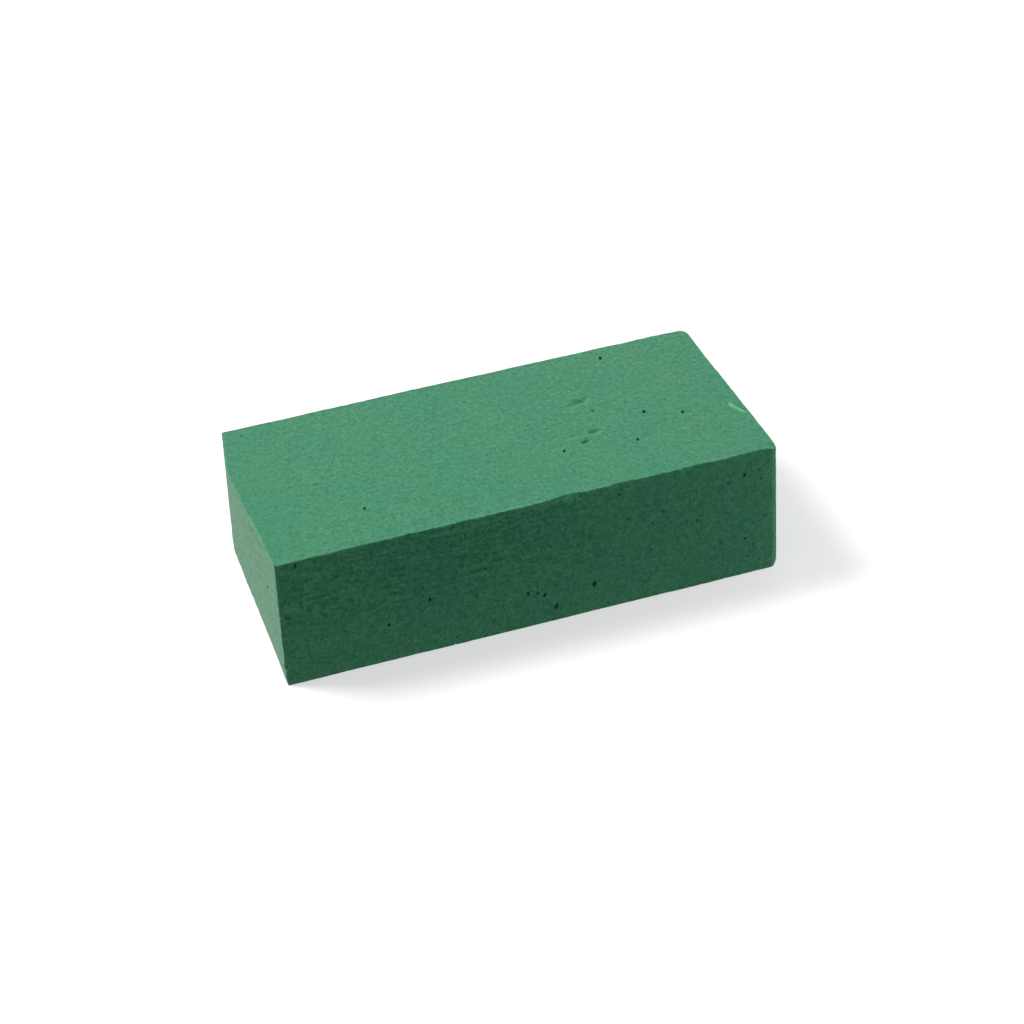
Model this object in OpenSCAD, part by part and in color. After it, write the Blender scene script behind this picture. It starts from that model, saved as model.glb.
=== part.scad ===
// Floral foam brick: one rigid block of dry, open-cell phenolic foam.
// Its left end is sawn from a longer slab by hand. The other faces are moulded.
// Millimetres, +Z up. The origin is on the base, midway along the length and the width.

/* [Block] */
// Length of the brick along X, from the sawn end to the moulded end
brick_length = 230; // [180:1:260]
// Width of the brick along Y, across its two long sides
brick_width = 110; // [90:1:130]
// Height of the brick along Z, from the base to the top face
brick_height = 64; // [50:1:90]

/* [Moulded end] */
// Radius of the upright corner at the front
corner_front_r = 3; // [1:0.5:12]
// Radius of the upright corner at the back, which handling has worn more
corner_back_r = 6; // [1:0.5:12]
// Radius of the bottom edge, which the mould leaves full
toe_r = 4; // [1:0.5:12]
// Radius of the top edge, which is trimmed crisp
brow_r = 1; // [0.5:0.5:4]

/* [Long edges] */
// Radius rubbed onto the four long edges by handling
worn_r = 0.8; // [0.4:0.1:2]

/* [Sawn end] */
// How far in the first saw cut passes the front of the base
cut_in_front = 0.5; // [0.2:0.1:2]
// How far in the first saw cut passes the back of the base
cut_in_back = 5.9; // [5.9:0.1:8]
// How far back along the top face the first cut takes nothing off
cut_clear = 71; // [60:1:72]
// How far in the second cut, at the back corner, passes the top face
corner_in_top = 6.5; // [6:0.1:10]
// How far in the second cut passes the base
corner_in_base = 5.8; // [4:0.1:5.8]
// How far back along the top face the second cut takes nothing off
corner_clear = 75; // [74:1:85]

/* [Hidden] */

foam_green = [0.33, 0.58, 0.44];
arc_steps = 64;
// Room past the block for whatever is cut away from it
spare = 20;

left = -brick_length / 2;
right = brick_length / 2;
front = -brick_width / 2;
back = brick_width / 2;

// Three points on each of the two flat saw cuts that make the left end
first_cut = [
    [left + cut_in_front, front, 0],
    [left, front + cut_clear, brick_height],
    [left + cut_in_back, back, 0]
];
second_cut = [
    [left, front + corner_clear, brick_height],
    [left + corner_in_top, back, brick_height],
    [left + corner_in_base, back, 0]
];

// Outline from low to high, with a round corner of radius r[i] at each corner:
// low left, low right, high right, high left. A radius of 0 leaves that corner square.
module rounded_outline(low, high, r) {
    corners = [low, [high.x, low.y], high, [low.x, high.y]];
    inward = [[1, 1], [-1, 1], [-1, -1], [1, -1]];
    difference() {
        translate(low) square(high - low);
        for (i = [0:3])
            if (r[i] > 0)
                corner_waste(corners[i], inward[i], r[i]);
    }
}

// What a round corner leaves over: a square as wide as the radius, less the circle
module corner_waste(corner, inward, r) {
    difference() {
        translate(corner) square(2 * r, center = true);
        translate(corner + r * inward) circle(r, $fn = arc_steps);
    }
}

// The half of space past the plane through three points, on the side cross(q - p, r - p) points to
module beyond(points) {
    normal = cross(points[1] - points[0], points[2] - points[0]);
    size = 2 * brick_length;
    translate(points[0])
        rotate([0, acos(normal.z / norm(normal)), atan2(normal.y, normal.x)])
            translate([-size / 2, -size / 2, 0]) cube(size);
}

// Seen from above: upright corners rounded at the moulded end
module plan() {
    linear_extrude(brick_height)
        rounded_outline([left, front], [right, back], [0, corner_front_r, corner_back_r, 0]);
}

// Seen from the front: bottom and top edges rounded at the moulded end
module elevation() {
    translate([0, back + spare, 0]) rotate([90, 0, 0])
        linear_extrude(brick_width + 2 * spare)
            rounded_outline([left, 0], [right, brick_height], [0, toe_r, brow_r, 0]);
}

// Seen from the end: the four long edges rubbed round
module section() {
    translate([left - spare, 0, 0]) rotate([90, 0, 90])
        linear_extrude(brick_length + 2 * spare)
            rounded_outline([front, 0], [back, brick_height], [worn_r, worn_r, worn_r, worn_r]);
}

module foam_brick() {
    color(foam_green) difference() {
        intersection() {
            plan();
            elevation();
            section();
        }
        beyond(first_cut);
        beyond(second_cut);
    }
}

foam_brick();
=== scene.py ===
"""Floral foam brick: its looks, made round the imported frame.

The brick is one block of dry phenolic foam. Its left end is sawn by hand and dusty, its right end
is moulded with soft corners, and its faces carry open bubbles, saw rows, and thumb and nail marks.
Shapes are worked out in millimetres and become metres once the mesh is made.
"""

import math
import random

import bmesh
import bpy
import numpy as np
from mathutils import Matrix, Vector, noise
from mathutils.bvhtree import BVHTree


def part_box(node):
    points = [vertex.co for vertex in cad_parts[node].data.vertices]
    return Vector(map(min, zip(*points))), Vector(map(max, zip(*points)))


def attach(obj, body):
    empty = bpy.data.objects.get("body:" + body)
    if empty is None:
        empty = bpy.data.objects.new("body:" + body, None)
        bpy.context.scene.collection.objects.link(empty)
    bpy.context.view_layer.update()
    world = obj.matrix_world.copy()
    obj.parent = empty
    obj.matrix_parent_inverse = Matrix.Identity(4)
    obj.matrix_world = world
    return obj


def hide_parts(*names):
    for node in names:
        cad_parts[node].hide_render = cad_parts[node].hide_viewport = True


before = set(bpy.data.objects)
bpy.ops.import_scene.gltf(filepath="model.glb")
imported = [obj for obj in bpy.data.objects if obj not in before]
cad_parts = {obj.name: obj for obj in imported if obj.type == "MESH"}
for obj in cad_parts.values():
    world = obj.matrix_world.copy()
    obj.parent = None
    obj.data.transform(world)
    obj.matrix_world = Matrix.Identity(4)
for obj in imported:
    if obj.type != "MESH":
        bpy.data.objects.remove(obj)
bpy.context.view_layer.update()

MM = 0.001
NODE = "foam_brick"
LEFT, FRONT, BASE = (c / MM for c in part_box(NODE)[0])
RIGHT, BACK, TOP = (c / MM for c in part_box(NODE)[1])
LOW = np.array([LEFT, FRONT, BASE])
HIGH = np.array([RIGHT, BACK, TOP])

# Grid of the foam's skin: even cells, and lines crowded beside the edges, as distances from an end
CELL = 1.3
EDGE_LINES = np.array([0, 0.22, 0.48, 0.8, 1.2, 1.7, 2.4, 3.2, 4.2])

# The moulded end's radii
FRONT_CORNER_R = 3.0
BACK_CORNER_R = 6.0
TOE_R = 4.0
BROW_R = 1.0

# Mean radii of the other edges: those cut clean, and those that handling has rubbed
CRISP_R = 0.45
SOFT_R = 0.75

# The sawn end: three points (inset, distance back, height) on each of its two saw strokes
FIRST_STROKE = ((0.5, 0, 0), (0, 71, 64), (5.9, 110, 0))
SECOND_STROKE = ((0, 75, 64), (6.5, 110, 64), (5.8, 110, 0))

# Open bubbles that show most, as (along, across, radius) on their face
TOP_BUBBLES = (
    (69.7, 46, 1.15), (71.4, -4.8, 1.15), (87.2, -12, 1.05), (60.7, -25.2, 1.0), (-67, -29, 0.95),
    (27.5, -21, 0.95), (50.5, 5, 0.8), (-101, 48, 0.65), (-81, -3, 0.55), (66.5, 6, 0.5), (38.5, 31, 0.5),
    (83.5, 1, 0.55),
)
FRONT_BUBBLES = (
    (27.3, 14.2, 1.45), (9.2, 7.4, 1.35), (-3.6, 17.8, 0.95), (0.9, 16.8, 0.85), (4.0, 14.9, 0.95),
    (-48.3, 27.2, 0.95), (-22.4, 36.2, 0.8), (-67.3, 19.2, 0.95), (-37.3, 4.2, 0.7), (-106, 61, 0.85),
    (-51.3, 34.2, 0.6), (-63.3, 35.2, 0.55), (-27.4, 23.2, 0.6), (-51.3, 14.2, 0.55), (-26.3, 12.2, 0.55),
    (-105.2, 41.2, 0.6), (40.4, 58.2, 0.7), (44.4, 44.2, 0.7), (60.3, 44.2, 0.75), (55.3, 39.2, 0.6),
    (54.3, 25.2, 0.7), (76.2, 35.2, 0.7), (-11.4, 60, 0.65), (2.6, 49.2, 0.65), (99, 53, 0.95),
    (91.1, 51, 0.65), (107, 49, 0.75), (106, 54, 0.6), (103, 15.2, 0.75), (99, 19.2, 0.7),
    (87.1, 20.2, 0.6), (100, 9.2, 0.6), (75, 46, 0.55), (14, 44, 0.55),
)
LEFT_BUBBLES = (
    (5.3, 36.5, 1.0), (36.7, 40.4, 0.9), (17.3, 57.8, 0.8), (24, 46, 0.6), (14, 30, 0.6), (42, 27, 0.6),
)

# The smaller bubbles, as (face, how many, largest radius), and the smallest radius of all
SCATTERED_BUBBLES = (
    ("top", 34, 0.4), ("front", 60, 0.42), ("left", 22, 0.6), ("right", 26, 0.8), ("back", 70, 1.0),
    ("base", 80, 0.9),
)
LEAST_BUBBLE_R = 0.28
# A bubble above this radius is drawn out, and one above the next has a finer mesh
BIG_BUBBLE_R = 0.8
FINE_BUBBLE_R = 0.45

SCATTERED_CHIPS = 40

# Bites crumbled out of the front of the top edge, as (along, reach, depth)
EDGE_BITES = ((17.5, 8, 1.3), (42.5, 7, 0.9), (76.5, 8, 0.6), (101.5, 10, 0.55))

# Thumb and tool marks pressed into the top, as (along, across, length, width, depth)
GOUGES = (
    (48.1, 14.9, 8.6, 5.2, 1.35), (43.7, 12.9, 7.0, 4.2, 0.55), (45.1, -11.2, 7.4, 4.4, 1.0),
    (33.8, -11.8, 8.0, 4.0, 0.35), (38.8, -17.3, 5.8, 2.7, 1.3),
)

# The flake that a thumbnail lifted beside the moulded end lies on an arc about this point
NAIL_CENTRE = (133.5, -10.8)
NAIL_RADIUS = 24

# Slant of the saw's marks across the sawn end, in degrees
RAKE_SLANT = 12
# Two faces that meet at more than this angle, in degrees, have a sharp edge
SHARP_ANGLE = 38
RANDOM_SEED = 23


# ---------------------------------------------------------------- numbers

def smooth_step(value, low, high):
    """0 below low, 1 above high, and a smooth rise between them."""
    t = np.clip((value - low) / (high - low), 0, 1)
    return t * t * (3 - 2 * t)


def field(points, lump, seed, stretch=(1, 1, 1)):
    """Smooth noise between about -1 and 1 at each point, with lumps about lump mm across."""
    shift = Vector((17.3, 5.9, 11.1)) * seed
    return np.array([noise.noise(Vector(p) + shift) for p in points / (lump * np.array(stretch))])


def soft_max(a, b, blend):
    """The larger of a and b, rounded off where they cross."""
    return blend * np.logaddexp(a / blend, b / blend)


# ---------------------------------------------------------------- the brick's skin

def grid_lines(low, high):
    """Grid lines from low to high: even in the middle, and crowded at both ends."""
    middle = np.linspace(low + EDGE_LINES[-1], high - EDGE_LINES[-1], round((high - low) / CELL))
    return np.concatenate([low + EDGE_LINES[:-1], middle, (high - EDGE_LINES[:-1])[::-1]])


def ruled_box(lines):
    """Corners and quads of a box's six faces, ruled along x, y and z by three lists of grid lines."""
    count = np.array([len(line) for line in lines])
    stride = np.array([count[1] * count[2], count[2], 1])
    quads = []
    for axis in range(3):
        u, v = (axis + 1) % 3, (axis + 2) % 3
        rows, cols = np.meshgrid(np.arange(count[u] - 1), np.arange(count[v] - 1), indexing="ij")
        corner = (rows * stride[u] + cols * stride[v]).ravel()
        loop = np.stack([corner, corner + stride[u], corner + stride[u] + stride[v], corner + stride[v]], 1)
        quads.append(loop + (count[axis] - 1) * stride[axis])
        quads.append(loop[:, ::-1])
    used, quads = np.unique(np.concatenate(quads), return_inverse=True)
    place = [used // stride[0], used // stride[1] % count[1], used % count[2]]
    points = np.stack([np.asarray(line)[i] for line, i in zip(lines, place)], 1)
    return points, quads.reshape(-1, 4)


def roll_edge(points, a, at_a, b, at_b, radius):
    """Rolls the edge between face a = at_a and face b = at_b onto an arc. radius is one number per point."""
    u, v = (1 - np.abs(points[:, axis] - at) / radius for axis, at in ((a, at_a), (b, at_b)))
    near = (u > 0) & (v > 0)
    for axis, at, reach, other in ((a, at_a, u, v), (b, at_b, v, u)):
        inward = 1 if at == LOW[axis] else -1
        rolled = reach[near] * np.sqrt(1 - other[near] ** 2 / 2)
        points[near, axis] = at + inward * radius[near] * (1 - rolled)


def worn_radius(points, mean, seed, swing=0.9):
    """A handled edge's radius along its length: crisp, with softer and crumbled stretches."""
    swell = field(points, 16, seed) * 0.6 + field(points, 4, seed + 1) * 0.4
    return mean * np.clip(1 + swing * swell, 0.4, 2.2)


def wear_front_edge(points):
    """Pushes the front top edge back where it has crumbled, and down in its left half and at its corners."""
    x, y, z = points.T
    bite = sum(depth * (1 - smooth_step(np.abs(x - at), 0.2 * reach, reach))
               for at, reach, depth in EDGE_BITES)
    worn = smooth_step(z, TOP - 3.2, TOP) * (1 - smooth_step(y, FRONT, FRONT + 6))
    low_end = 0.5 * (1 - smooth_step(x, -20, 30)) + 0.4 * (1 - smooth_step(x, -112, -96))
    slope = smooth_step(z, TOP - 25, TOP) * (1 - smooth_step(y, FRONT, FRONT + 50))
    corner = 0.9 * smooth_step(x, 108, 114)
    points[:, 1] += bite * worn
    points[:, 2] -= corner * worn + low_end * slope


def roll_all_edges(points):
    """Rolls the box's twelve edges: the upright ones first, then those round the ends, then the long ones."""
    same = np.ones(len(points))
    for seed, (y, corner) in enumerate(((FRONT, FRONT_CORNER_R), (BACK, BACK_CORNER_R))):
        roll_edge(points, 0, RIGHT, 1, y, corner * same)
        roll_edge(points, 0, LEFT, 1, y, worn_radius(points, SOFT_R, 10 + seed, 1.6))
    roll_edge(points, 0, RIGHT, 2, BASE, TOE_R * same)
    roll_edge(points, 0, RIGHT, 2, TOP, worn_radius(points, BROW_R, 14))
    roll_edge(points, 0, LEFT, 2, BASE, worn_radius(points, CRISP_R, 16))
    roll_edge(points, 0, LEFT, 2, TOP, worn_radius(points, CRISP_R, 18))
    for seed, (y, z, mean) in enumerate(((FRONT, BASE, CRISP_R), (BACK, BASE, CRISP_R), (BACK, TOP, SOFT_R))):
        roll_edge(points, 1, y, 2, z, worn_radius(points, mean, 20 + 3 * seed))
    roll_edge(points, 1, FRONT, 2, TOP, worn_radius(points, CRISP_R, 30, 1.4))


def stroke_x(points, stroke):
    """X of a flat saw stroke at each point's y and z. Three (inset, distance back, height) points set it."""
    p, q, r = (np.array([LEFT + inset, FRONT + back, BASE + height]) for inset, back, height in stroke)
    normal = np.cross(q - p, r - p)
    return p[0] - ((points[:, 1] - p[1]) * normal[1] + (points[:, 2] - p[2]) * normal[2]) / normal[0]


def sawn_x(points):
    """X of the sawn end, which the saw left out of square."""
    end = soft_max(np.full(len(points), LEFT), stroke_x(points, FIRST_STROKE), 0.1)
    return soft_max(end, stroke_x(points, SECOND_STROKE), 0.15)


def saw_off_end(points):
    """Moves points along x, so that the box's left face lands on the sawn end and its right one stays."""
    end = sawn_x(points)
    points[:, 0] = end + (points[:, 0] - LEFT) * (RIGHT - end) / (RIGHT - LEFT)


# ---------------------------------------------------------------- marks on the skin

def gouge_reach(points, gouge):
    """Where points lie in a gouge, as (along, across): 1 at its ends and its sides."""
    x, y, length, width, _ = gouge
    along = (points[:, 0] - x) / (length / 2)
    return along, (points[:, 1] - y - 0.3 * along) / (width / 2)


def gouge_depth(points, gouge):
    """A dent pressed into the top: a steep far wall and an easy near slope."""
    along, across = gouge_reach(points, gouge)
    far = 1 - smooth_step(across, 0.0, 0.95)
    near = smooth_step(across, -1.5, 0.1)
    return gouge[-1] * far * near * (1 - smooth_step(np.abs(along), 0.3, 1.05))


def gouge_scrape_and_highlight(points, gouge):
    """The near slope of a gouge, which faces the key light and is painted pale: partly scuffed foam, partly
    painted highlight. 0 to 1.
    """
    along, across = gouge_reach(points, gouge)
    slope = smooth_step(across, -1.8, -1.0) * (1 - smooth_step(across, -0.5, 0.1))
    return slope * (1 - smooth_step(np.abs(along), 0.4, 1.1)) * min(1, gouge[-1])


def nail_ridge(points):
    """How high the flake by the moulded end stands, with a drop beside it on the inside of its arc."""
    dx, dy = NAIL_CENTRE[0] - points[:, 0], NAIL_CENTRE[1] - points[:, 1]
    turn = np.degrees(np.arctan2(dy, dx))
    out = np.hypot(dx, dy) - NAIL_RADIUS
    along = smooth_step(turn, 0, 14) * (1 - smooth_step(turn, 26, 36))
    flake = smooth_step(out, -0.5, 0.1) * (1 - smooth_step(out, 0.3, 2.7))
    drop = np.exp(-(((out + 1.1) / 0.55) ** 2))
    return (0.5 * flake - 0.35 * drop) * along


def score_depth(points):
    """A faint line dragged along the top."""
    x, y = points[:, 0], points[:, 1]
    line = -11 + 0.8 * np.sin(x / 31) + 0.3 * np.sin(x / 9)
    run = smooth_step(x, -92, -80) * (1 - smooth_step(x, 24, 34))
    return 0.16 * np.exp(-(((y - line) / 0.55) ** 2)) * run


def marks_depth(points):
    """How deep the skin is pressed in at each point, by every mark on the top."""
    depth = sum(gouge_depth(points, g) for g in GOUGES) - nail_ridge(points) + score_depth(points)
    return depth * smooth_step(points[:, 2], TOP - 1.5, TOP - 0.8)


def sides(facing):
    """How far each direction faces the front, the back and the sawn end: 0 to 1 each."""
    return [smooth_step(toward, 0.5, 0.9) for toward in (-facing[:, 1], facing[:, 1], -facing[:, 0])]


def torn_and_shaded(points):
    """Where the saw tore the long sides most: high up and towards the sawn end. The material also paints
    shade on the long sides there.
    """
    high = 0.35 + 0.65 * smooth_step(points[:, 2], 12, 46)
    return high * (1 - 0.75 * smooth_step(points[:, 0], -25, 75))


def skin_relief(points, facing):
    """How far the skin stands out at each point: slow waves, saw marks and the foam's lumpy grain.

    Each term is a height in mm times noise, and the noise says how many mm across its lumps are.
    """
    front, back, sawn = sides(facing)
    waves = 0.14 * field(points, 46, 1) + 0.06 * field(points, 15, 2)
    eased = 0.6 * smooth_step(points[:, 0], 96, RIGHT + 4) ** 2 * np.maximum(front, back)
    grain = 0.08 * field(points, 3.4, 3) + 0.035 * field(points, 1.9, 4)
    saw = 0.09 * field(points, 2.8, 5, (7, 1, 1)) + 0.10 * field(points, 6.5, 6, (9, 1, 1))
    rake = field(points @ tilted(RAKE_SLANT), 2.4, 7, (1, 7, 1))
    saw *= np.maximum(front, back) * (0.3 + 0.7 * torn_and_shaded(points))
    return waves - eased + grain * (1 + sawn) + saw + 0.07 * rake * sawn


def tilted(degrees):
    """Turns the sawn face's own directions, so that saw marks run across it at a slant."""
    return np.array(Matrix.Rotation(math.radians(degrees), 3, "X"))


def mesh_points(mesh):
    points = np.empty(len(mesh.vertices) * 3)
    mesh.vertices.foreach_get("co", points)
    return points.reshape(-1, 3)


def mesh_normals(mesh):
    normals = np.empty(len(mesh.vertices) * 3)
    mesh.vertex_normals.foreach_get("vector", normals)
    return normals.reshape(-1, 3)


def set_points(mesh, points):
    mesh.vertices.foreach_set("co", np.ascontiguousarray(points).ravel())
    mesh.update()


def edge_distance(points):
    """How far each point is from the nearest of the box's twelve edges."""
    gaps = np.sort(np.minimum(np.abs(points - LOW), np.abs(points - HIGH)), axis=1)
    return np.hypot(gaps[:, 0], gaps[:, 1])


def refine(bm, wanted, cuts):
    """Cuts up the edges whose middles wanted() picks, so that small shapes have enough points."""
    bm.edges.ensure_lookup_table()
    middles = np.array([(e.verts[0].co + e.verts[1].co) / 2 for e in bm.edges])
    picked = [bm.edges[i] for i in np.flatnonzero(wanted(middles))]
    bmesh.ops.subdivide_edges(bm, edges=picked, cuts=cuts, use_grid_fill=True)


def near_marks(middles):
    """Which of these points on the top lie on or beside any mark."""
    return (np.abs(marks_depth(middles)) > 0.004) & (middles[:, 2] > TOP - 0.1)


def deep_marks(middles):
    """Which of these points on the top lie where a mark is deep or high."""
    return (np.abs(marks_depth(middles)) > 0.14) & (middles[:, 2] > TOP - 0.1)


def foam_skin():
    """The block's whole skin before its bubbles are cut, in mm."""
    points, quads = ruled_box([grid_lines(low, high) for low, high in zip(LOW, HIGH)])
    mesh = bpy.data.meshes.new("foam_skin")
    mesh.from_pydata(points.tolist(), [], quads.tolist())
    bm = bmesh.new()
    bm.from_mesh(mesh)
    refine(bm, near_marks, 1)
    refine(bm, deep_marks, 1)
    bm.to_mesh(mesh)
    bm.free()
    points = mesh_points(mesh)
    roll_all_edges(points)
    wear_front_edge(points)
    pressed = marks_depth(points)
    saw_off_end(points)
    set_points(mesh, points)
    facing = mesh_normals(mesh)
    points += facing * skin_relief(points, facing)[:, None]
    points[:, 2] -= pressed
    set_points(mesh, points)
    return mesh


# ---------------------------------------------------------------- bubbles and chips

# Each face of the block, as (a point on it, along, across, out of it). Along x across = out.
FACES = {
    "top": (Vector((0, 0, TOP)), Vector((1, 0, 0)), Vector((0, 1, 0)), Vector((0, 0, 1))),
    "base": (Vector((0, 0, BASE)), Vector((1, 0, 0)), Vector((0, -1, 0)), Vector((0, 0, -1))),
    "front": (Vector((0, FRONT, 0)), Vector((1, 0, 0)), Vector((0, 0, 1)), Vector((0, -1, 0))),
    "back": (Vector((0, BACK, 0)), Vector((-1, 0, 0)), Vector((0, 0, 1)), Vector((0, 1, 0))),
    "left": (Vector((LEFT, 0, 0)), Vector((0, -1, 0)), Vector((0, 0, 1)), Vector((-1, 0, 0))),
    "right": (Vector((RIGHT, 0, 0)), Vector((0, 1, 0)), Vector((0, 0, 1)), Vector((1, 0, 0))),
}


def add_blob(bm, centre, axes, radii, turn, rng, detail):
    """One lumpy ball in bm: radii along its three axes, turned about the last, dented by noise."""
    ball = bmesh.ops.create_icosphere(bm, subdivisions=detail, radius=1)["verts"]
    turn = Matrix.Rotation(turn, 3, "Z")
    shift = Vector([rng.uniform(0, 50) for _ in range(3)])
    for vert in ball:
        lump = 1 + 0.18 * noise.noise(vert.co * 1.3 + shift)
        local = turn @ Vector([c * r * lump for c, r in zip(vert.co, radii)])
        vert.co = centre + sum((axis * c for axis, c in zip(axes, local)), Vector())


def bubble_places(rng):
    """Every bubble as (face, along, across, radius): those listed, then small ones scattered on each face."""
    listed = [("top", TOP_BUBBLES), ("front", FRONT_BUBBLES), ("left", LEFT_BUBBLES)]
    places = [(face, *bubble) for face, bubbles in listed for bubble in bubbles]
    for face, count, biggest in SCATTERED_BUBBLES:
        _, along, across, _ = FACES[face]
        reach = [max(abs(LOW.dot(axis)), abs(HIGH.dot(axis))) for axis in (along, across)]
        while count:
            u = rng.uniform(-reach[0] + 4, reach[0] - 4)
            v = rng.uniform(4, TOP - 4) if across.z else rng.uniform(-reach[1] + 4, reach[1] - 4)
            radius = LEAST_BUBBLE_R + (biggest - LEAST_BUBBLE_R) * rng.random() ** 2.5
            if all(f != face or math.hypot(u - a, v - b) > radius + r + 0.8 for f, a, b, r in places):
                places.append((face, u, v, radius))
                count -= 1
    return places


def bubble_cutter(skin_tree, rng):
    """All the open bubbles as one mesh of separate blobs, each sunk just under the skin where it lies."""
    bm = bmesh.new()
    for face, u, v, radius in bubble_places(rng):
        origin, along, across, out = FACES[face]
        hit = skin_tree.ray_cast(origin + along * u + across * v + out * 20, -out)[0]
        # The biggest bubbles are drawn out and lean, and the others are turned at random
        big = radius > BIG_BUBBLE_R
        oval = 0.8 if big else rng.uniform(0.8, 1.25)
        deep = radius * (rng.uniform(1.5, 2.2) if big else rng.uniform(1.1, 1.7))
        radii = (radius * oval, radius / oval, deep)
        turn = -0.25 if big else rng.uniform(0, math.pi)
        detail = 2 if radius > FINE_BUBBLE_R else 1
        add_blob(bm, hit + out * 0.1 * radius, (along, across, out), radii, turn, rng, detail)
    return new_mesh("bubbles", bm)


def chip_places(rng):
    """Chips broken off the edges, as (point on the edge, direction away from the block, radius)."""
    places = [((LEFT, FRONT, 9.5), (-1, -1, 0), 1.8), ((LEFT + 3.7, FRONT, 35), (0, -1, 0), 1.2),
              ((RIGHT, -8.7, TOP), (1, 0, 1), 1.3), ((48, FRONT, TOP), (0, -1, 1), 1.0)]
    for _ in range(SCATTERED_CHIPS):
        run = rng.choice((0, 0, 1, 2))
        spot = [rng.choice((LOW[i], HIGH[i])) for i in range(3)]
        away = [0 if i == run else math.copysign(1, spot[i] - (LOW[i] + HIGH[i]) / 2) for i in range(3)]
        spot[run] = rng.uniform(LOW[run] + 3, HIGH[run] - 3)
        moulded = spot[0] > RIGHT - 9 and (run != 1 or spot[2] == BASE)
        biggest = 0.45 if spot[2] == BASE and run != 2 else 0.9
        if not moulded:
            places.append((spot, away, 0.4 + biggest * rng.random() ** 2))
    return places


def chip_cutter(rng):
    """All the chips as one mesh of blobs, each set just outside its edge."""
    bm = bmesh.new()
    for spot, away, radius in chip_places(rng):
        spot = np.array([spot], float)
        saw_off_end(spot)
        out = Vector(away).normalized()
        side = out.orthogonal().normalized()
        radii = (radius, radius * rng.uniform(1.0, 1.8), radius * rng.uniform(0.8, 1.2))
        centre = Vector(spot[0]) + out * radius * rng.uniform(0.1, 0.4)
        add_blob(bm, centre, (side, out.cross(side), out), radii, rng.uniform(0, math.pi), rng, 2)
    return new_mesh("chips", bm)


def new_mesh(name, bm):
    """A mesh made from bm, which is freed."""
    mesh = bpy.data.meshes.new(name)
    bm.to_mesh(mesh)
    bm.free()
    return mesh


def add_object(name, data):
    """A new object in the scene, for a mesh, a light or a camera."""
    thing = bpy.data.objects.new(name, data)
    bpy.context.scene.collection.objects.link(thing)
    return thing


def cut_away(skin, cutter):
    """skin less cutter, as a new mesh."""
    block, tool = add_object("block", skin), add_object("tool", cutter)
    cut = block.modifiers.new("cut", "BOOLEAN")
    cut.operation, cut.solver, cut.object = "DIFFERENCE", "MANIFOLD", tool
    depsgraph = bpy.context.evaluated_depsgraph_get()
    result = bpy.data.meshes.new_from_object(block.evaluated_get(depsgraph))
    for thing in (block, tool):
        bpy.data.objects.remove(thing)
    return result


# ---------------------------------------------------------------- what the material reads

def paint_masks(mesh, skin_tree):
    """Stores where the foam is sawn, worn at its edges, scuffed in the gouges, lifted into the nail flake,
    marked by saw rows and coarse, and where light and shade are painted: highlights on the edges, the gouges'
    near slopes and the flake, shade in bubbles and chips and high on the long sides.
    """
    points = mesh_points(mesh)
    from_end = points[:, 0] - sawn_x(points)
    others = np.concatenate([points[:, 1:] - LOW[1:], HIGH[1:] - points[:, 1:]], 1).min(1)
    sawn = (1 - smooth_step(from_end, 0.1, 0.7)) * smooth_step(others, 0.05, 0.5)
    # Edges are found as if the sawn end were square
    squared = points.copy()
    squared[:, 0] = np.where(points[:, 0] < 0, LEFT + from_end, points[:, 0])
    # Paler near every edge: partly worn foam, partly a painted highlight along the edges
    rubbed = 1 - smooth_step(edge_distance(squared), 0.3, 1.8)
    # Painted shade: the further a point lies under the uncut skin, in a bubble or chip, the darker it is
    # painted
    sunk = np.array([skin_tree.find_nearest(point)[3] for point in points])
    pit_shade = smooth_step(sunk, 0.25, 1.0)
    at_top = smooth_step(points[:, 2], TOP - 2.5, TOP - 2)
    # Painted highlight on the gouges' near slopes, which face the key light, over scuffed foam
    scrape_and_highlight = np.clip(sum(gouge_scrape_and_highlight(points, g) for g in GOUGES), 0, 1) * at_top
    # The nail flake is painted pale: partly fresh foam, partly a painted highlight on its raised face
    flake_and_highlight = smooth_step(nail_ridge(points), 0.03, 0.3) * at_top
    long_side = np.minimum(points[:, 1] - FRONT, BACK - points[:, 1])
    on_side = 1 - smooth_step(long_side, 0.4, 1.4)
    # Saw streaks on the long sides, and painted shade that darkens them high up and towards the sawn end
    streaks_and_shade = on_side * torn_and_shaded(points)
    # The texture is faintest on and beside the sawn end, and strongest where the saw tore the long sides
    even = 0.62 + 0.38 * smooth_step(from_end, 3, 30)
    coarse = even * (1 - on_side) + on_side + 0.35 * streaks_and_shade
    masks = {"sawn": sawn, "rubbed": rubbed, "pit_shade": pit_shade, "streaks_and_shade": streaks_and_shade, "coarse": coarse,
             "scrape_and_highlight": scrape_and_highlight, "flake_and_highlight": flake_and_highlight}
    for name, values in masks.items():
        mesh.attributes.new(name, "FLOAT", "POINT").data.foreach_set("value", values.astype(np.float32))


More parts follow.
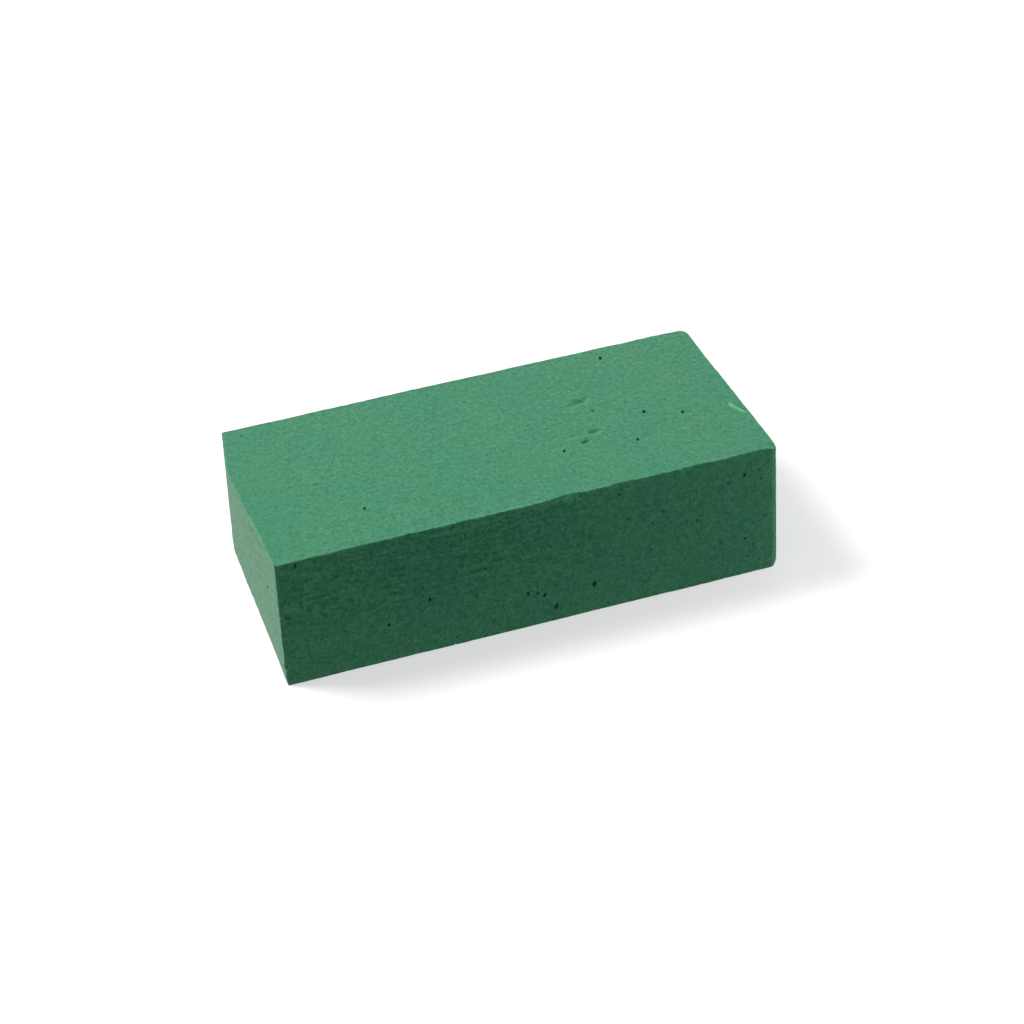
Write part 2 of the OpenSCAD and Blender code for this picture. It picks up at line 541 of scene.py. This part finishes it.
def lay_out_sides(mesh):
    """Flattens the six sides onto one square sheet, for a texture of the whole brick."""
    length, width, height = HIGH - LOW
    gap = 3.0
    sheet = max(length + width + 3 * gap, 5 * gap + 2 * (width + height))
    corners = {
        (2, 1): (gap, gap), (2, 0): (gap, 2 * gap + width),
        (1, 0): (gap, 3 * gap + 2 * width), (1, 1): (gap, 4 * gap + 2 * width + height),
        (0, 0): (2 * gap + length, gap), (0, 1): (2 * gap + length, 2 * gap + height),
    }
    centres = np.array([p.center for p in mesh.polygons])
    gaps = np.stack([centres - LOW, HIGH - centres], 2)
    gaps[:, 0, 0] = centres[:, 0] - sawn_x(centres)
    nearest = gaps.reshape(len(centres), 6).argmin(1)
    points = mesh_points(mesh) - LOW
    layer = mesh.uv_layers.new(name="OFBake")
    places = np.empty((len(mesh.loops), 2), np.float32)
    for polygon, side in zip(mesh.polygons, nearest):
        axis, far = divmod(int(side), 2)
        u, v = [a for a in range(3) if a != axis]
        left, low = corners[axis, far]
        for loop, vert in zip(polygon.loop_indices, polygon.vertices):
            places[loop] = (left + points[vert, u]) / sheet, (low + points[vert, v]) / sheet
    layer.data.foreach_set("uv", places.ravel())


# ---------------------------------------------------------------- material

class Nodes:
    """Adds nodes to a material and joins them up. A value may be a number, a colour or a node's output."""

    def __init__(self, name):
        self.material = bpy.data.materials.new(name)
        self.material.use_nodes = True
        self.tree = self.material.node_tree
        self.tree.nodes.clear()

    def add(self, kind, inputs=None, **settings):
        node = self.tree.nodes.new(kind)
        for key, value in settings.items():
            setattr(node, key, value)
        for key, value in (inputs or {}).items():
            self.feed(node.inputs[key], value)
        return node

    def feed(self, socket, value):
        if isinstance(value, bpy.types.NodeSocket):
            self.tree.links.new(value, socket)
        else:
            socket.default_value = value

    def math(self, operation, *values):
        return self.add("ShaderNodeMath", dict(enumerate(values)), operation=operation).outputs[0]

    def total(self, start, *terms):
        """start plus each (weight, value), multiplied out."""
        for weight, value in terms:
            start = self.math("MULTIPLY_ADD", value, weight, start)
        return start

    def ramp(self, value, low, high, out_low=0.0, out_high=1.0):
        """A smooth rise from out_low to out_high as value goes from low to high."""
        inputs = {"Value": value, "From Min": low, "From Max": high, "To Min": out_low, "To Max": out_high}
        return self.add("ShaderNodeMapRange", inputs, interpolation_type="SMOOTHSTEP").outputs[0]

    def scaled(self, place, by):
        """place times by, which has a factor for each axis."""
        return self.add("ShaderNodeVectorMath", {0: place, 1: by}, operation="MULTIPLY").outputs[0]

    def noise(self, place, scale, detail=2.0):
        inputs = {"Vector": place, "Scale": scale, "Detail": detail}
        return self.add("ShaderNodeTexNoise", inputs).outputs["Fac"]

    def mix(self, share, a, b, blend="MIX"):
        node = self.add("ShaderNodeMix", data_type="RGBA", blend_type=blend)
        colours = [s for s in node.inputs if s.type == "RGBA"]
        self.feed(node.inputs["Factor"], share)
        self.feed(colours[0], a)
        self.feed(colours[1], b)
        return next(s for s in node.outputs if s.type == "RGBA")

    def centred(self, noise):
        """Noise moved from 0..1 to lie either side of zero."""
        return self.math("SUBTRACT", noise, 0.5)

    def specks(self, place, gap, radius, share):
        """Round specks, radius mm at most, in a share of the cells of a sponge with cells gap mm wide."""
        cells = self.add("ShaderNodeTexVoronoi", {"Vector": place, "Scale": 1 / gap}, feature="F1")
        near = self.ramp(cells.outputs["Distance"], 0.4 * radius / gap, radius / gap, 1.0, 0.0)
        return self.math("MULTIPLY", near, self.math("LESS_THAN", cells.outputs["Color"], share))

    def mask(self, name):
        """What paint_masks stored under name."""
        return self.add("ShaderNodeAttribute", attribute_name=name).outputs["Fac"]


WARM_GREEN = (0.046, 0.215, 0.109, 1)
COOL_GREEN = (0.036, 0.212, 0.1125, 1)
# Dark green of the painted shade in bubbles and chips
PIT_SHADE_GREEN = (0.008, 0.055, 0.028, 1)
# Pale green of worn foam, also used as the painted highlight on the edges and the gouges' near slopes
WORN_AND_HIGHLIGHT_GREEN = (0.062, 0.255, 0.140, 1)
# Pale green of the nail flake: fresh foam brightened as a painted highlight
FLAKE_AND_HIGHLIGHT = (0.12, 0.38, 0.23, 1)
DUST = (0.13, 0.385, 0.20, 1)


def foam_material():
    """Dry, open-cell foam: powdery and matte, peppered with cells, dusty where it is sawn."""
    n = Nodes("foam")
    place = n.add("ShaderNodeTexCoord").outputs["Object"]
    mm = n.scaled(place, (1 / MM,) * 3)
    # The cells are drawn out a little across the slab, and the saw's rows run along it
    cells = n.scaled(mm, (1, 0.7, 1))
    along = n.scaled(mm, (0.16, 1, 1))

    clouds = n.noise(mm, 0.03, 2)
    lumps = n.noise(mm, 0.34, 1)
    mottle = n.noise(cells, 0.72, 0.3)
    grain = n.noise(mm, 1.3, 3)
    rows = n.noise(along, 0.65, 2)
    blotches = n.total(0.0, (0.5, n.noise(n.scaled(mm, (1, 0.45, 1)), 0.42, 3)), (0.5, lumps))
    specks = n.total(0.0, (0.26, n.specks(cells, 3.2, 0.6, 0.5)), (0.14, n.specks(cells, 1.7, 0.5, 0.5)))
    streaks_and_shade = n.mask("streaks_and_shade")

    colour = n.mix(n.ramp(clouds, 0.3, 0.7), WARM_GREEN, COOL_GREEN)
    # Edges painted paler in patches: partly wear, partly painted highlight
    rubbed = n.math("MULTIPLY", n.mask("rubbed"), n.ramp(mottle, 0.3, 0.7, 0.05, 0.4))
    colour = n.mix(rubbed, colour, WORN_AND_HIGHLIGHT_GREEN)
    dusty = n.math("MULTIPLY", n.mask("sawn"), n.ramp(blotches, 0.36, 0.64, 0.28, 0.72))
    colour = n.mix(dusty, colour, DUST)
    # Painted highlight on the nail flake, over its paler fresh foam
    colour = n.mix(n.math("MULTIPLY", n.mask("flake_and_highlight"), 0.8), colour, FLAKE_AND_HIGHLIGHT)
    # The gouges' near slopes painted paler: partly scuffed foam, partly painted highlight
    colour = n.mix(n.math("MULTIPLY", n.mask("scrape_and_highlight"), 0.5), colour, WORN_AND_HIGHLIGHT_GREEN)
    uneven = n.total(0.0, (0.52, n.centred(mottle)), (0.3, n.centred(lumps)), (0.36, n.centred(grain)),
                     (-1.1, specks))
    streaks = n.math("MULTIPLY", n.centred(rows), streaks_and_shade)
    # The last term is painted shade: the long sides darker high up and towards the sawn end
    shade = n.total(1.0, (n.mask("coarse"), uneven), (0.7, streaks), (-0.12, streaks_and_shade))
    # Light loses its red first, then its blue, on the way in and out of a cell
    tint = n.add("ShaderNodeCombineColor", {
        "Red": n.math("POWER", shade, 2.3), "Green": shade, "Blue": n.math("POWER", shade, 1.45),
    }).outputs[0]
    colour = n.mix(1.0, colour, tint, "MULTIPLY")
    # Painted shade inside the bubbles and chips, darkest where they sink furthest
    colour = n.mix(n.math("MULTIPLY", n.mask("pit_shade"), 0.8), colour, PIT_SHADE_GREEN)

    height = n.total(0.0, (0.34, lumps), (0.14, mottle), (0.14, grain), (-0.35, specks),
                     (0.5, n.math("MULTIPLY", rows, streaks_and_shade)))
    bump = n.add("ShaderNodeBump", {"Height": height, "Strength": 1.0, "Distance": MM})
    shader = n.add("ShaderNodeBsdfPrincipled", {
        "Base Color": colour, "Roughness": n.ramp(grain, 0.3, 0.7, 0.86, 0.98), "Normal": bump.outputs[0],
        "Specular IOR Level": 0.12, "Sheen Weight": 0.21, "Sheen Roughness": 0.5,
    })
    n.add("ShaderNodeOutputMaterial", {"Surface": shader.outputs[0]})
    return n.material


# ---------------------------------------------------------------- the set

# Half the floor's width, in metres
FLOOR_HALF = 40
# The sky's brightness, as (height from 0 straight down to 1 straight up, brightness)
SKY = ((0.0, 0.15), (0.485, 0.15), (0.495, 0.99), (0.6, 0.99), (0.7, 0.43), (1.0, 0.43))
# The camera, in degrees, metres and millimetres of lens
AZIMUTH, ELEVATION, ROLL = -17.454, 34.003, -3.301
CAMERA_DISTANCE = 1.4637
CAMERA_TARGET = Vector((0.01885, 0.03329, 0))
LENS = 110.82


def floor_material():
    """Pale and matt. It glows a little, and more with distance, so that it meets the sky unseen."""
    n = Nodes("pale_floor")
    place = n.add("ShaderNodeTexCoord").outputs["Object"]
    distance = n.add("ShaderNodeVectorMath", {0: place}, operation="LENGTH").outputs["Value"]
    glow = n.ramp(distance, 0.8, 5.0, 0.5, 0.75)
    shader = n.add("ShaderNodeBsdfPrincipled", {
        "Base Color": (0.55, 0.55, 0.55, 1), "Roughness": 0.9, "Specular IOR Level": 0.2,
        "Emission Color": (1, 1, 1, 1), "Emission Strength": glow,
    })
    n.add("ShaderNodeOutputMaterial", {"Surface": shader.outputs[0]})
    return n.material


def make_floor():
    """A wide floor that the brick casts its shadow on, and that throws no light back on it."""
    bm = bmesh.new()
    bmesh.ops.create_grid(bm, x_segments=1, y_segments=1, size=FLOOR_HALF)
    floor = add_object("floor", new_mesh("floor", bm))
    floor.data.materials.append(floor_material())
    floor.visible_diffuse = False
    floor.visible_glossy = False


def make_world():
    """Soft light from all round: brightest at the horizon, dimmer overhead, dim from below."""
    world = bpy.data.worlds.new("studio")
    bpy.context.scene.world = world
    world.use_nodes = True
    tree = world.node_tree
    coords = tree.nodes.new("ShaderNodeTexCoord")
    split = tree.nodes.new("ShaderNodeSeparateXYZ")
    ramp = tree.nodes.new("ShaderNodeValToRGB")
    remap = tree.nodes.new("ShaderNodeMapRange")
    remap.inputs["From Min"].default_value = -1
    tree.links.new(coords.outputs["Generated"], split.inputs[0])
    tree.links.new(split.outputs["Z"], remap.inputs["Value"])
    tree.links.new(remap.outputs[0], ramp.inputs["Fac"])
    elements = ramp.color_ramp.elements
    while len(elements) < len(SKY):
        elements.new(1.0)
    for element, (at, level) in zip(elements, SKY):
        element.position = at
        element.color = (level, level, level, 1)
    tree.links.new(ramp.outputs["Color"], tree.nodes["Background"].inputs["Color"])


def add_area(name, place, aim, size, power):
    """A square soft light at place, facing aim."""
    light = bpy.data.lights.new(name, "AREA")
    light.shape, light.size, light.energy = "SQUARE", size, power
    lamp = add_object(name, light)
    lamp.location = place
    lamp.rotation_euler = (Vector(aim) - Vector(place)).to_track_quat("-Z", "Y").to_euler()


def make_lights():
    add_area("key", (-2.05, 1.35, 3.25), (0, 0, 0.03), 1.4, 160)
    add_area("right_fill", (0.42, -0.075, 0.06), (0.115, -0.05, 0.03), 0.12, 0.5)


def make_camera():
    azimuth, elevation, roll = (math.radians(angle) for angle in (AZIMUTH, ELEVATION, ROLL))
    back = Vector((math.sin(azimuth) * math.cos(elevation), -math.cos(azimuth) * math.cos(elevation),
                   math.sin(elevation)))
    camera = add_object("camera", bpy.data.cameras.new("camera"))
    turn = (-back).to_track_quat("-Z", "Y").to_matrix() @ Matrix.Rotation(roll, 3, "Z")
    camera.matrix_world = Matrix.Translation(CAMERA_TARGET + back * CAMERA_DISTANCE) @ turn.to_4x4()
    camera.data.lens = LENS
    bpy.context.scene.camera = camera


# ---------------------------------------------------------------- the brick

def make_brick():
    rng = random.Random(RANDOM_SEED)
    skin = foam_skin()
    skin_tree = BVHTree.FromPolygons([v.co for v in skin.vertices], [p.vertices for p in skin.polygons])
    mesh = cut_away(cut_away(skin, bubble_cutter(skin_tree, rng)), chip_cutter(rng))
    mesh.name = "foam_brick_skin"
    paint_masks(mesh, skin_tree)
    lay_out_sides(mesh)
    mesh.transform(Matrix.Scale(MM, 4))
    mesh.shade_smooth()
    mesh.set_sharp_from_angle(angle=math.radians(SHARP_ANGLE))
    mesh.materials.clear()
    mesh.materials.append(foam_material())
    brick = add_object("foam_brick_skin", mesh)
    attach(brick, "root")
    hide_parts(NODE)


make_camera()
make_brick()
make_floor()
make_world()
make_lights()
bpy.context.scene.view_settings.view_transform = "Standard"
